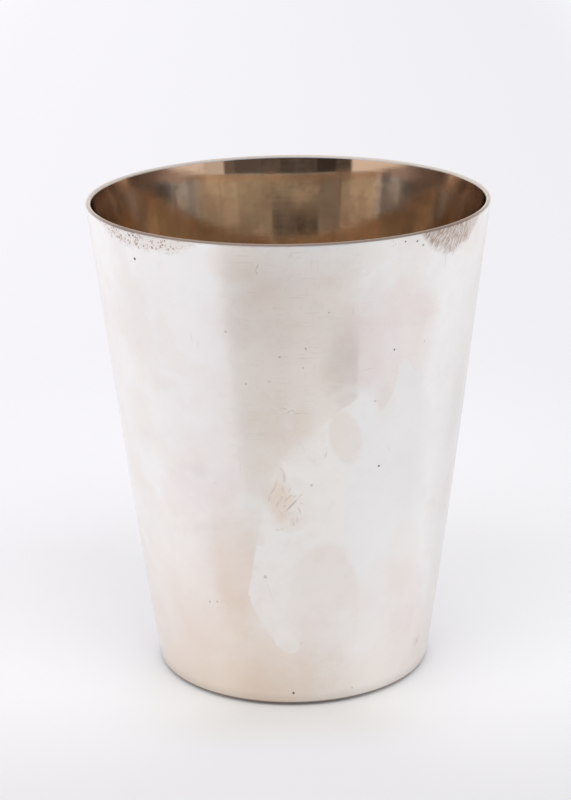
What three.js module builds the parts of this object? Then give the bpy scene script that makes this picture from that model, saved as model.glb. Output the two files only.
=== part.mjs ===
// A kiddush cup: a plain tapered beaker of sheet silver, raised in one piece, with a soft
// rounded lip and a faint belly low on the wall. It stands on a flat ring set in under the
// floor, so the lower edge of the wall clears the table by a hair.
// Millimetres, +Z up. The origin is on the cup's axis, in the plane it stands on.

import * as THREE from 'three';

// Driving dimensions.
const HEIGHT = 78;
const RIM_RADIUS = 32;        // outside, at the lip
const BASE_RADIUS = 22.2;     // outside, at the foot of the wall
const BELLY = 0.33;           // how far the wall swells out of its straight taper
const SHEET = 0.8;            // thickness of the wall and of the lip
const FLOOR = 0.9;            // thickness of the floor
const RECESS = 0.9;           // depth of the hollow under the floor
const RING_INSET = 1.8;       // from the foot of the wall in to the ring that the cup stands on
const RING_WIDTH = 2.2;       // width of that ring, which is flat
const RING_BEVEL = 0.4;       // width of the ring's sloping sides
const FOOT_GAP = 0.4;         // how far the lower edge of the wall stands clear of the table
const FOOT_EDGE = 0.25;       // radius of that edge
const INNER_FILLET = 1.4;     // radius between the wall and the floor, inside

// How finely the curves are cut into facets.
const SIDES = 96;
const WALL_STEPS = 9;
const LIP_STEPS = 6;
const EDGE_STEPS = 3;

const SILVER = { color: 0xd9d4cd, roughness: 0.28, metalness: 1 };

// The lip is a half round of this radius, and the straight part of the wall ends below it.
const LIP_RADIUS = SHEET / 2;
const WALL_TOP = HEIGHT - LIP_RADIUS;

// The belly is fullest a third of the way up, and dies out at both ends.
const BELLY_SCALE = 27 / 4;

// Radius of the outside of the wall at a height.
function wallRadius(z) {
  const t = z / HEIGHT;
  const taper = BASE_RADIUS + (RIM_RADIUS - BASE_RADIUS) * t;
  return taper + BELLY * BELLY_SCALE * t * (1 - t) ** 2;
}

// Points on an arc about a centre, from one angle to another, both ends included.
function arc(radius, z, size, from, to, steps) {
  return Array.from({ length: steps + 1 }, (_, i) => {
    const angle = from + ((to - from) * i) / steps;
    return new THREE.Vector2(radius + size * Math.cos(angle), z + size * Math.sin(angle));
  });
}

// Points up or down one face of the wall, set in from the outside by a depth, without its ends.
function wallFace(inset, from, to) {
  return Array.from({ length: WALL_STEPS - 1 }, (_, i) => {
    const z = from + ((to - from) * (i + 1)) / WALL_STEPS;
    return new THREE.Vector2(wallRadius(z) - inset, z);
  });
}

// The section of the whole cup, from the axis under the floor, out and up the outside of
// the wall, over the lip, and down the inside to the axis again.
function cupSection() {
  const floorTop = RECESS + FLOOR;
  const ringOuter = BASE_RADIUS - RING_INSET;
  const ringInner = ringOuter - RING_WIDTH;
  const wallFoot = FOOT_GAP + FOOT_EDGE;
  const edgeCentre = wallRadius(wallFoot) - FOOT_EDGE;
  const lipCentre = RIM_RADIUS - LIP_RADIUS;
  const filletTop = floorTop + INNER_FILLET;
  const filletCentre = wallRadius(filletTop) - SHEET - INNER_FILLET;

  const underside = [
    new THREE.Vector2(0, RECESS),
    new THREE.Vector2(ringInner - RING_BEVEL, RECESS),
    new THREE.Vector2(ringInner, 0),
    new THREE.Vector2(ringOuter, 0),
    new THREE.Vector2(ringOuter + RING_BEVEL, FOOT_GAP),
  ];
  const footEdge = arc(edgeCentre, wallFoot, FOOT_EDGE, -Math.PI / 2, 0, EDGE_STEPS);
  const outside = wallFace(0, wallFoot, WALL_TOP);
  const lip = arc(lipCentre, WALL_TOP, LIP_RADIUS, 0, Math.PI, LIP_STEPS);
  const inside = wallFace(SHEET, WALL_TOP, filletTop);
  const fillet = arc(filletCentre, filletTop, INNER_FILLET, 0, -Math.PI / 2, EDGE_STEPS);
  const floorCentre = [new THREE.Vector2(0, floorTop)];
  return [...underside, ...footEdge, ...outside, ...lip, ...inside, ...fillet, ...floorCentre];
}

// The cup is its section turned about the axis. A lathe turns about Y, so the mesh is tipped
// up to stand along Z.
function makeCup() {
  const geometry = new THREE.LatheGeometry(cupSection(), SIDES);
  const cup = new THREE.Mesh(geometry, new THREE.MeshStandardMaterial(SILVER));
  cup.name = 'cup';
  cup.rotation.x = Math.PI / 2;
  return cup;
}

const kiddushCup = new THREE.Group();
kiddushCup.add(makeCup());

export default kiddushCup;
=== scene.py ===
"""A kiddush cup: a plain tapered beaker of sheet silver, worn, scratched and tarnished."""
import math

import bpy
from mathutils import Matrix, Vector


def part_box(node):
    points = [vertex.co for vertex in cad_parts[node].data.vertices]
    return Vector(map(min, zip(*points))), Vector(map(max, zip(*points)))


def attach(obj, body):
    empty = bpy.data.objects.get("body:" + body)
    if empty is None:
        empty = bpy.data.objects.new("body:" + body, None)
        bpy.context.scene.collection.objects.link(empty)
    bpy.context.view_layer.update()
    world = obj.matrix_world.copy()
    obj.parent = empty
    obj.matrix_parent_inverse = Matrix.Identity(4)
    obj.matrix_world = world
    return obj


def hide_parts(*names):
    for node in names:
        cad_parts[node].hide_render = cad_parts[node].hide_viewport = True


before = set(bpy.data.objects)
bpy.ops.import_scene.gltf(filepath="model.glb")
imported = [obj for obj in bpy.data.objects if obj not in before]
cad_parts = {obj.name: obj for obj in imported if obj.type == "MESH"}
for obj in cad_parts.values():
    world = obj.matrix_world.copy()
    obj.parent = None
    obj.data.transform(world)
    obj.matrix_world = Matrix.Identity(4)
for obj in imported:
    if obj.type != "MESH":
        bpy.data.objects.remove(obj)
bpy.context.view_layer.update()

MM = 0.001
CUP_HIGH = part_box("cup")[1]

# ---------------------------------------------------------------- sizes, in metres

HEIGHT = CUP_HIGH[2]
RIM_RADIUS = CUP_HIGH[0]
BASE_RADIUS = 22.2 * MM
BELLY = 0.33 * MM
SHEET = 0.8 * MM
FLOOR = 0.9 * MM
RECESS = 0.9 * MM
RING_INSET = 1.8 * MM
RING_WIDTH = 2.2 * MM
RING_BEVEL = 0.4 * MM
FOOT_GAP = 0.4 * MM
FOOT_EDGE = 0.25 * MM
INNER_FILLET = 1.4 * MM
LIP_RADIUS = SHEET / 2
WALL_TOP = HEIGHT - LIP_RADIUS
BELLY_SCALE = 27 / 4

SIDES = 320
WALL_ROWS = 44
LIP_ROWS = 14
EDGE_ROWS = 6
FLOOR_ROWS = 10

# The hammering and long use have left the wall slightly out of round.
UNEVENNESS = 0.045 * MM
UNEVENNESS_SIZE = 22 * MM
HAND_SEED = 7.0
# Near the foot, the lip and the axis it stays true.
STEADY_FOOT = 8 * MM
STEADY_LIP = 6 * MM
STEADY_RADIUS = 19 * MM
WELD = 0.001 * MM

# Shallow dings: degrees round from the front, height, radius and depth in mm.
DINGS = (
    (14.0, 61.0, 4.5, 0.05),
    (-9.0, 69.5, 5.0, 0.05),
    (100.0, 40.0, 5.0, 0.07),
    (-150.0, 58.0, 6.0, 0.08),
)


# ---------------------------------------------------------------- building node trees

class Tree:
    """A node tree while it is built. Inputs take plain values or the outputs of other nodes."""

    COLUMN, ROW, PER_COLUMN = 200, 190, 7

    def __init__(self, tree):
        self.tree = tree
        self.tree.nodes.clear()

    def put(self, kind, inputs=None, **settings):
        node = self.tree.nodes.new(kind)
        count = len(self.tree.nodes) - 1
        node.location = (self.COLUMN * (count // self.PER_COLUMN), -self.ROW * (count % self.PER_COLUMN))
        for name, value in settings.items():
            setattr(node, name, value)
        for name, value in (inputs or {}).items():
            self.feed(node.inputs[name], value)
        return node

    def feed(self, socket, value):
        if isinstance(value, bpy.types.NodeSocket):
            self.tree.links.new(value, socket)
        else:
            socket.default_value = value

    def math(self, operation, *values, clamp=False):
        node = self.put("ShaderNodeMath", operation=operation, use_clamp=clamp)
        for socket, value in zip(node.inputs, values):
            self.feed(socket, value)
        return node.outputs[0]

    def plus(self, first, second):
        return self.math("ADD", first, second)

    def minus(self, first, second, clamp=False):
        return self.math("SUBTRACT", first, second, clamp=clamp)

    def times(self, first, second, clamp=False):
        return self.math("MULTIPLY", first, second, clamp=clamp)

    def scaled(self, value, factor, start):
        """The value times a factor, plus a start."""
        return self.math("MULTIPLY_ADD", value, factor, start)

    def rest(self, share, clamp=False):
        """What a share leaves of 1."""
        return self.minus(1.0, share, clamp=clamp)

    def vector(self, operation, *values):
        node = self.put("ShaderNodeVectorMath", operation=operation)
        for socket, value in zip(node.inputs, values):
            self.feed(socket, value)
        return node.outputs["Value"] if operation in ("LENGTH", "DISTANCE") else node.outputs["Vector"]

    def join(self, x, y, z):
        return self.put("ShaderNodeCombineXYZ", {"X": x, "Y": y, "Z": z}).outputs[0]

    def split(self, vector):
        return self.put("ShaderNodeSeparateXYZ", {"Vector": vector}).outputs

    def ramp(self, value, low, high, bottom=0.0, top=1.0):
        """A smooth step: bottom below low, top above high."""
        settings = {"Value": value, "From Min": low, "From Max": high, "To Min": bottom, "To Max": top}
        node = self.put("ShaderNodeMapRange", settings, interpolation_type="SMOOTHSTEP")
        return node.outputs[0]

    def noise(self, point, scale, detail=3.0, roughness=0.55):
        settings = {"Vector": point, "Scale": scale, "Detail": detail, "Roughness": roughness}
        return self.put("ShaderNodeTexNoise", settings).outputs[0]

    def colour_mix(self, factor, first, second, blend="MIX"):
        node = self.put("ShaderNodeMix", data_type="RGBA", blend_type=blend)
        colours = [socket for socket in node.inputs if socket.type == "RGBA"]
        self.feed(node.inputs[0], factor)
        self.feed(colours[0], first)
        self.feed(colours[1], second)
        return [socket for socket in node.outputs if socket.type == "RGBA"][0]

    def blend(self, factor, first, second):
        """A number between two others."""
        return self.put("ShaderNodeMix", {0: factor, 2: first, 3: second}, data_type="FLOAT").outputs[0]

    def show(self, shader, output="ShaderNodeOutputMaterial"):
        self.feed(self.put(output).inputs["Surface"], shader)


def start_material(name):
    material = bpy.data.materials.new(name)
    material.use_nodes = True
    return material, Tree(material.node_tree)


def start_group(kind, name, inputs, outputs):
    """A new node group with named sockets: (socket type, name, default) in, (type, name) out."""
    group = bpy.data.node_groups.new(name, kind)
    for socket_type, socket_name, default in inputs:
        socket = group.interface.new_socket(socket_name, in_out="INPUT", socket_type=socket_type)
        if default is not None:
            socket.default_value = default
    for socket_type, socket_name in outputs:
        group.interface.new_socket(socket_name, in_out="OUTPUT", socket_type=socket_type)
    tree = Tree(group)
    given = tree.put("NodeGroupInput").outputs
    result = tree.put("NodeGroupOutput").inputs
    return group, tree, given, result


FLOAT, VECTOR = "NodeSocketFloat", "NodeSocketVector"
GEOMETRY, INTEGER, MATERIAL = "NodeSocketGeometry", "NodeSocketInt", "NodeSocketMaterial"


def add_object(name, data):
    thing = bpy.data.objects.new(name, data)
    bpy.context.scene.collection.objects.link(thing)
    return thing


# ---------------------------------------------------------------- the cup's shape

def wall_radius(z):
    """Radius of the outside of the wall at a height."""
    t = z / HEIGHT
    return BASE_RADIUS + (RIM_RADIUS - BASE_RADIUS) * t + BELLY * BELLY_SCALE * t * (1 - t) ** 2


def arc(radius, z, size, start, end, rows):
    """Points (radius, height) on an arc between two angles in degrees, both ends included."""
    angles = [math.radians(start + (end - start) * i / rows) for i in range(rows + 1)]
    return [(radius + size * math.cos(a), z + size * math.sin(a)) for a in angles]


def straight(start, end, rows):
    """Points between two others, without its ends."""
    steps = [i / rows for i in range(1, rows)]
    return [(start[0] + (end[0] - start[0]) * t, start[1] + (end[1] - start[1]) * t) for t in steps]


def wall_face(inset, bottom, top, rows):
    """Points up (or down) one face of the wall, set in from the outside, without its ends."""
    heights = [bottom + (top - bottom) * i / rows for i in range(1, rows)]
    return [(wall_radius(z) - inset, z) for z in heights]


def cup_section():
    """The section from the axis under the floor to the axis above it, and where the lining starts."""
    floor_top = RECESS + FLOOR
    ring_outer = BASE_RADIUS - RING_INSET
    ring_inner = ring_outer - RING_WIDTH
    wall_foot = FOOT_GAP + FOOT_EDGE
    edge_centre = wall_radius(wall_foot) - FOOT_EDGE
    fillet_top = floor_top + INNER_FILLET
    fillet_centre = wall_radius(fillet_top) - SHEET - INNER_FILLET

    roof = arc(ring_inner - RING_BEVEL, RECESS - RING_BEVEL, RING_BEVEL, 90, 0, EDGE_ROWS)
    under = [(0.0, RECESS)] + straight((0.0, RECESS), roof[0], FLOOR_ROWS) + roof
    ring = arc(ring_inner + RING_BEVEL, RING_BEVEL, RING_BEVEL, 180, 270, EDGE_ROWS)
    ring += arc(ring_outer - RING_BEVEL, RING_BEVEL, RING_BEVEL, 270, 360, EDGE_ROWS)
    foot = arc(edge_centre, wall_foot, FOOT_EDGE, -90, 0, EDGE_ROWS)
    outside = wall_face(0.0, wall_foot, WALL_TOP, WALL_ROWS)
    lip = arc(RIM_RADIUS - LIP_RADIUS, WALL_TOP, LIP_RADIUS, 0, 180, LIP_ROWS)
    inside = wall_face(SHEET, WALL_TOP, fillet_top, WALL_ROWS)
    fillet = arc(fillet_centre, fillet_top, INNER_FILLET, 0, -90, EDGE_ROWS)
    floor = straight(fillet[-1], (0.0, floor_top), FLOOR_ROWS) + [(0.0, floor_top)]

    silver = under + ring + foot + outside + lip
    return silver + inside + fillet + floor, len(silver) - 1


def section_mesh(points):
    """The section as a line of points in the XZ plane."""
    mesh = bpy.data.meshes.new("cup_section")
    edges = [(i, i + 1) for i in range(len(points) - 1)]
    mesh.from_pydata([(radius, 0.0, z) for radius, z in points], edges, [])
    return mesh


def ding_depth(tree, place, ding):
    """How far one shallow ding presses the wall in at a place on it."""
    turn, up, radius, depth = ding
    angle = math.radians(turn)
    wall = wall_radius(up * MM)
    centre = (wall * math.sin(angle), -wall * math.cos(angle), up * MM)
    distance = tree.vector("DISTANCE", place, centre)
    return tree.ramp(distance, 0.0, radius * MM, depth * MM, 0.0)


def turning_tree():
    """Turns a section about the axis, and leaves the wall as uneven as hand work does."""
    group, tree, given, result = start_group(
        "GeometryNodeTree",
        "turn_cup",
        [
            (GEOMETRY, "Section", None),
            (INTEGER, "Sides", SIDES),
            (INTEGER, "Lining Row", 1),
            (FLOAT, "Unevenness", UNEVENNESS),
            (FLOAT, "Unevenness Size", UNEVENNESS_SIZE),
            (FLOAT, "Seed", HAND_SEED),
            (FLOAT, "Steady Foot", STEADY_FOOT),
            (FLOAT, "Steady Lip", STEADY_LIP),
            (FLOAT, "Height", HEIGHT),
            (FLOAT, "Steady Radius", STEADY_RADIUS),
            (MATERIAL, "Silver", None),
            (MATERIAL, "Lining", None),
        ],
        [(GEOMETRY, "Cup")],
    )
    size = tree.put("GeometryNodeAttributeDomainSize", {"Geometry": given["Section"]}, component="MESH")
    rows = size.outputs["Point Count"]
    across = tree.plus(given["Sides"], 1)
    sheet = tree.put("GeometryNodeMeshGrid", {"Vertices X": across, "Vertices Y": rows})

    # A grid numbers its points row after row, so the number gives both the side and the row.
    index = tree.put("GeometryNodeInputIndex").outputs[0]
    side = tree.math("FLOOR", tree.math("DIVIDE", index, rows))
    row = tree.minus(index, tree.times(side, rows))
    angle = tree.times(tree.math("DIVIDE", side, given["Sides"]), 2 * math.pi)
    position = tree.put("GeometryNodeInputPosition").outputs[0]
    sample = tree.put(
        "GeometryNodeSampleIndex",
        {"Geometry": given["Section"], "Index": row},
        data_type="FLOAT_VECTOR",
        domain="POINT",
    )
    vector_in = [socket for socket in sample.inputs if socket.type == "VECTOR" and socket.enabled][0]
    tree.feed(vector_in, position)
    vector_out = [socket for socket in sample.outputs if socket.type == "VECTOR" and socket.enabled][0]
    radius, _, z = tree.split(vector_out)
    sine, cosine = tree.math("SINE", angle), tree.math("COSINE", angle)

    def at_radius(distance):
        return tree.join(tree.times(sine, distance), tree.times(cosine, distance), z)

    # The unevenness is the same on both faces of the sheet, and dies out at foot, lip and floor.
    flat_place = at_radius(RIM_RADIUS)
    scale = tree.math("DIVIDE", 1.0, given["Unevenness Size"])
    waves = {"Vector": flat_place, "W": given["Seed"], "Scale": scale, "Detail": 1.0}
    noise = tree.put("ShaderNodeTexNoise", waves, noise_dimensions="4D").outputs[0]
    off_foot = tree.ramp(z, 0.0, given["Steady Foot"])
    off_lip = tree.ramp(tree.minus(given["Height"], z), 0.0, given["Steady Lip"])
    off_axis = tree.math("GREATER_THAN", radius, given["Steady Radius"])
    freedom = tree.times(tree.times(off_foot, off_lip), off_axis)
    swing = tree.times(tree.minus(noise, 0.5), tree.times(given["Unevenness"], 2.0))
    wall_place = at_radius(radius)
    for ding in DINGS:
        swing = tree.minus(swing, ding_depth(tree, wall_place, ding))
    bent = tree.plus(radius, tree.times(swing, freedom))
    place = at_radius(bent)

    numbered = tree.put("GeometryNodeCaptureAttribute", domain="POINT")
    numbered.capture_items.new("FLOAT", "Row")
    tree.feed(numbered.inputs["Geometry"], sheet.outputs["Mesh"])
    tree.feed(numbered.inputs["Row"], row)
    turned = tree.put(
        "GeometryNodeSetPosition", {"Geometry": numbered.outputs["Geometry"], "Position": place}
    ).outputs[0]
    closed = tree.put("GeometryNodeMergeByDistance", {"Geometry": turned, "Distance": WELD}).outputs[0]
    outward = tree.put("GeometryNodeFlipFaces", {"Mesh": closed}).outputs[0]
    smoothing = {"Geometry": outward, "Shade Smooth": True}
    smooth = tree.put("GeometryNodeSetShadeSmooth", smoothing).outputs[0]
    real = tree.put("GeometryNodeRealizeInstances", {"Geometry": smooth}).outputs[0]
    plating = {"Geometry": real, "Material": given["Silver"]}
    silver = tree.put("GeometryNodeSetMaterial", plating).outputs[0]
    inside = tree.math("GREATER_THAN", numbered.outputs["Row"], given["Lining Row"])
    lined = tree.put(
        "GeometryNodeSetMaterial",
        {"Geometry": silver, "Selection": inside, "Material": given["Lining"]},
    ).outputs[0]
    tree.feed(result["Cup"], lined)
    return group


def set_input(modifier, name, value):
    """Sets a modifier's input by its socket's identifier."""
    for item in modifier.node_group.interface.items_tree:
        if item.item_type == "SOCKET" and item.in_out == "INPUT" and item.name == name:
            modifier[item.identifier] = value


def drop_empty_slots(mesh):
    """Leaves only the material slots that hold one, with each face in the slot it had."""
    kept = [i for i, material in enumerate(mesh.materials) if material]
    held = [mesh.materials[i] for i in kept]
    slots = [kept.index(face.material_index) for face in mesh.polygons]
    mesh.materials.clear()
    for material in held:
        mesh.materials.append(material)
    mesh.polygons.foreach_set("material_index", slots)


def make_cup(silver, lining):
    """The cup: its section turned, made a plain mesh, with its faces pointing out."""
    points, lining_row = cup_section()
    blank = add_object("blank", section_mesh(points))
    modifier = blank.modifiers.new("turning", "NODES")
    modifier.node_group = turning_tree()
    inputs = {"Sides": SIDES, "Lining Row": lining_row, "Silver": silver, "Lining": lining}
    for name, value in inputs.items():
        set_input(modifier, name, value)
    bpy.context.view_layer.update()
    evaluated = blank.evaluated_get(bpy.context.evaluated_depsgraph_get())
    mesh = bpy.data.meshes.new_from_object(evaluated)
    mesh.name = "silver_cup"
    drop_empty_slots(mesh)
    bpy.data.objects.remove(blank)
    return add_object("silver_cup", mesh)


# ---------------------------------------------------------------- places on the wall

MEAN_WALL = 27.5        # mm, the radius at which the wall is unrolled flat
FROM_FRONT, FROM_BACK = -1.0, 1.0


def shader_group(name, inputs, outputs):
    return start_group("ShaderNodeTree", name, inputs, outputs)


def unroll_group():
    """Where a point is: degrees round from front or back, mm round, mm up, and its place in mm."""
    group, tree, given, result = shader_group(
        "unroll_wall",
        [(FLOAT, "Facing", FROM_FRONT)],
        [(FLOAT, "Turn"), (FLOAT, "Round"), (FLOAT, "Up"), (VECTOR, "Place"), (VECTOR, "Flat")],
    )
    point = tree.put("ShaderNodeTexCoord").outputs["Object"]
    place = tree.put("ShaderNodeVectorMath", {0: point, "Scale": 1 / MM}, operation="SCALE").outputs[0]
    x, y, z = tree.split(place)
    angle = tree.math("ARCTAN2", x, tree.times(y, given["Facing"]))
    round_mm = tree.times(angle, MEAN_WALL)
    tree.feed(result["Turn"], tree.math("DEGREES", angle))
    tree.feed(result["Round"], round_mm)
    tree.feed(result["Up"], z)
    tree.feed(result["Place"], place)
    tree.feed(result["Flat"], tree.join(round_mm, z, 0.0))
    return group


def stain_group():
    """One oval stain: 1 inside, 0 outside, with an edge that may be crisp or soft, and ragged."""
    group, tree, given, result = shader_group(
        "stain",
        [
            (FLOAT, "Round", 0.0), (FLOAT, "Up", 0.0), (FLOAT, "Ragged", 0.0),
            (FLOAT, "Along Round", 1.0), (FLOAT, "Along Up", 0.0), (FLOAT, "Along Start", 0.0),
            (FLOAT, "Across Round", 0.0), (FLOAT, "Across Up", 1.0), (FLOAT, "Across Start", 0.0),
            (FLOAT, "Inner", 0.8), (FLOAT, "Outer", 1.2), (FLOAT, "Strength", 1.0),
        ],
        [(FLOAT, "Mask")],
    )

    def reach(way):
        rise = tree.scaled(given["Up"], given[way + " Up"], given[way + " Start"])
        return tree.scaled(given["Round"], given[way + " Round"], rise)

    along, across = reach("Along"), reach("Across")
    squared = tree.scaled(across, across, tree.times(along, along))
    distance = tree.plus(tree.math("SQRT", squared), given["Ragged"])
    tree.feed(result["Mask"], tree.ramp(distance, given["Inner"], given["Outer"], given["Strength"], 0.0))
    return group


def levelled(tree, flat, lean):
    """A place on the unrolled wall, measured along and across strokes that lean."""
    angle = tree.math("RADIANS", tree.times(lean, -1.0))
    turned = tree.put("ShaderNodeVectorRotate", {"Vector": flat, "Angle": angle}, rotation_type="Z_AXIS")
    return tree.split(turned.outputs[0])


def scratches_group():
    """Fine straight scratches, one to a cell of a net that leans one way, each thin at both ends."""
    group, tree, given, result = shader_group(
        "scratches",
        [
            (VECTOR, "Flat", None), (FLOAT, "Lean", 0.0), (FLOAT, "Spread", 10.0), (FLOAT, "Length", 8.0),
            (FLOAT, "Gap", 2.0), (FLOAT, "Width", 0.1), (FLOAT, "Share", 0.4), (FLOAT, "Seed", 0.0),
        ],
        [(FLOAT, "Mask")],
    )
    apart = tree.join(tree.times(given["Seed"], 37.7), given["Seed"], 0.0)
    x, y, _ = levelled(tree, tree.vector("ADD", given["Flat"], apart), given["Lean"])
    stretched = tree.join(
        tree.math("DIVIDE", x, given["Length"]), tree.math("DIVIDE", y, given["Gap"]), 0.0
    )
    net = tree.put("ShaderNodeTexVoronoi", {"Vector": stretched, "Scale": 1.0}, voronoi_dimensions="2D")
    chance, swing, size = tree.split(net.outputs["Color"])
    off_x, off_y, _ = tree.split(tree.vector("SUBTRACT", stretched, net.outputs["Position"]))
    right = tree.times(off_x, given["Length"])
    above = tree.times(off_y, given["Gap"])
    spread = tree.math("RADIANS", tree.times(given["Spread"], 2.0))
    angle = tree.times(tree.minus(swing, 0.5), spread)
    sine, cosine = tree.math("SINE", angle), tree.math("COSINE", angle)
    along = tree.plus(tree.times(right, cosine), tree.times(above, sine))
    across = tree.minus(tree.times(above, cosine), tree.times(right, sine))
    half = tree.times(given["Length"], tree.scaled(size, 0.28, 0.12))
    taper = tree.rest(tree.math("POWER", tree.math("DIVIDE", along, half), 2.0), clamp=True)
    width = tree.plus(tree.times(given["Width"], taper), 0.001)
    line = tree.rest(tree.math("DIVIDE", tree.math("ABSOLUTE", across), width), clamp=True)
    chosen = tree.math("LESS_THAN", chance, given["Share"])
    depth = tree.scaled(tree.math("DIVIDE", chance, given["Share"]), 0.7, 0.3)
    tree.feed(result["Mask"], tree.times(tree.times(line, chosen), depth))
    return group


def turning_lines_group():
    """The fine rings that turning and polishing leave round the cup."""
    group, tree, given, result = shader_group(
        "turning_lines",
        [(VECTOR, "Place", None), (FLOAT, "Spacing", 0.15), (FLOAT, "Length", 30.0)],
        [(FLOAT, "Height")],
    )
    x, y, z = tree.split(given["Place"])
    stretched = tree.join(
        tree.math("DIVIDE", x, given["Length"]), tree.math("DIVIDE", y, given["Length"]),
        tree.math("DIVIDE", z, given["Spacing"]),
    )
    tree.feed(result["Height"], tree.noise(stretched, 1.0, detail=2.0))
    return group


def specks_group():
    """Small round specks, scattered: some of the cells of a fine net hold one."""
    group, tree, given, result = shader_group(
        "specks",
        [
            (VECTOR, "Place", None), (FLOAT, "Spacing", 3.0),
            (FLOAT, "Radius", 0.15), (FLOAT, "Share", 0.2),
        ],
        [(FLOAT, "Mask")],
    )
    scale = tree.math("DIVIDE", 1.0, given["Spacing"])
    net = tree.put("ShaderNodeTexVoronoi", {"Vector": given["Place"], "Scale": scale})
    distance = tree.times(net.outputs["Distance"], given["Spacing"])
    chance = tree.split(net.outputs["Color"])[0]
    chosen = tree.math("LESS_THAN", chance, given["Share"])
    size = tree.times(given["Radius"], tree.plus(0.4, tree.math("DIVIDE", chance, given["Share"])))
    spot = tree.ramp(distance, tree.times(size, 0.5), size, 1.0, 0.0)
    tree.feed(result["Mask"], tree.times(spot, chosen))
    return group


def dots_group():
    """Tiny dots on the unrolled wall: many of the cells of a very fine net hold one."""
    group, tree, given, result = shader_group(
        "dots",
        [(VECTOR, "Flat", None), (FLOAT, "Spacing", 0.4), (FLOAT, "Radius", 0.1), (FLOAT, "Share", 0.4)],
        [(FLOAT, "Mask")],
    )
    scale = tree.math("DIVIDE", 1.0, given["Spacing"])
    net = tree.put(
        "ShaderNodeTexVoronoi", {"Vector": given["Flat"], "Scale": scale}, voronoi_dimensions="2D"
    )
    distance = tree.times(net.outputs["Distance"], given["Spacing"])
    chance, size, _ = tree.split(net.outputs["Color"])
    chosen = tree.math("LESS_THAN", chance, given["Share"])
    reach = tree.times(given["Radius"], tree.scaled(size, 1.2, 0.25))
    spot = tree.ramp(distance, tree.times(reach, 0.4), reach, 1.0, 0.0)
    tree.feed(result["Mask"], tree.times(spot, chosen))
    return group


def strokes_group():
    """Short broken strokes close together that all lean one way, like the hairs of a brush."""
    group, tree, given, result = shader_group(
        "strokes",
        [
            (VECTOR, "Flat", None), (FLOAT, "Lean", 0.0), (FLOAT, "Length", 0.9),
            (FLOAT, "Width", 0.15), (FLOAT, "Share", 0.5),
        ],
        [(FLOAT, "Mask")],
    )
    x, y, _ = levelled(tree, given["Flat"], given["Lean"])
    stretched = tree.join(
        tree.math("DIVIDE", x, given["Length"]), tree.math("DIVIDE", y, given["Width"]), given["Lean"]
    )
    grain = tree.noise(stretched, 1.0, detail=2.0, roughness=0.6)
    least = tree.rest(given["Share"])
    tree.feed(result["Mask"], tree.ramp(grain, least, tree.plus(least, 0.12)))
    return group


def rim_crust_group():
    """How thick a crust hangs below the lip between two places round it, thinning to a feathered edge."""
    group, tree, given, result = shader_group(
        "rim_crust",
        [
            (VECTOR, "Flat", None), (FLOAT, "Turn", 0.0), (FLOAT, "Up", 0.0),
            (FLOAT, "From Turn", 0.0), (FLOAT, "To Turn", 10.0),
            (FLOAT, "Depth", 3.0), (FLOAT, "Feather", 1.0),
        ],
        [(FLOAT, "Area")],
    )
    middle = tree.times(tree.plus(given["From Turn"], given["To Turn"]), 0.5)
    half = tree.times(tree.minus(given["To Turn"], given["From Turn"]), 0.5)
    off_middle = tree.math("DIVIDE", tree.math("ABSOLUTE", tree.minus(given["Turn"], middle)), half)
    ragged = tree.noise(given["Flat"], 0.55, detail=4.0, roughness=0.7)
    sides = tree.rest(tree.math("POWER", off_middle, 2.4), clamp=True)
    deep = tree.times(tree.times(given["Depth"], sides), tree.plus(ragged, 0.5))
    below = tree.minus(WALL_TOP / MM, given["Up"])
    tree.feed(result["Area"], tree.ramp(tree.minus(deep, below), 0.0, given["Feather"]))
    return group


# The edges of the patch where the film was rubbed off, as degrees round and mm up.
PATCH_TOP = (
    (-17, 20), (-15.2, 22.2), (-14.2, 24.7), (-12.1, 29.7), (-10.8, 33), (-9.3, 37), (-7, 41),
    (-4.5, 43.8), (-1, 46), (3, 47.8), (6.6, 48.9), (10.9, 50.2), (16.2, 51.8), (20.4, 53.3),
    (21.3, 54.1), (22.4, 54.0), (26, 52.1), (28.5, 50.4), (31, 52.0), (33, 54.2), (34, 57.6),
    (36, 58.2), (38.2, 57.7), (39.2, 56.3), (42.8, 55.2), (44.4, 53), (60, 44),
)
PATCH_BOTTOM = (
    (-17, 20), (-15.4, 19.2), (-13.6, 16.5), (-10.6, 14.6), (-8.2, 12.6), (-5.1, 10.6), (-1.4, 9.7),
    (1.5, 10.3), (2.4, 11.4), (3, 14), (6, 18), (20, 18), (24, 8), (28, 2), (60, 0),
)
PATCH_FROM, PATCH_TO = -20.0, 60.0


def edge_curve(tree, turn, points):
    """A height, in mm, that follows given points round the wall."""
    span = PATCH_TO - PATCH_FROM
    along = tree.math("DIVIDE", tree.minus(turn, PATCH_FROM), span, clamp=True)
    node = tree.put("ShaderNodeFloatCurve", {"Value": along})
    curve = node.mapping.curves[0]
    spots = [((turn_at - PATCH_FROM) / span, up * MM / HEIGHT) for turn_at, up in points]
    spots = [(0.0, spots[0][1])] + spots
    while len(curve.points) < len(spots):
        curve.points.new(0.5, 0.5)
    for point, (x, y) in zip(curve.points, spots):
        point.location = (x, y)
        point.handle_type = "AUTO_CLAMPED"
    node.mapping.update()
    return tree.times(node.outputs[0], HEIGHT / MM)


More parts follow.
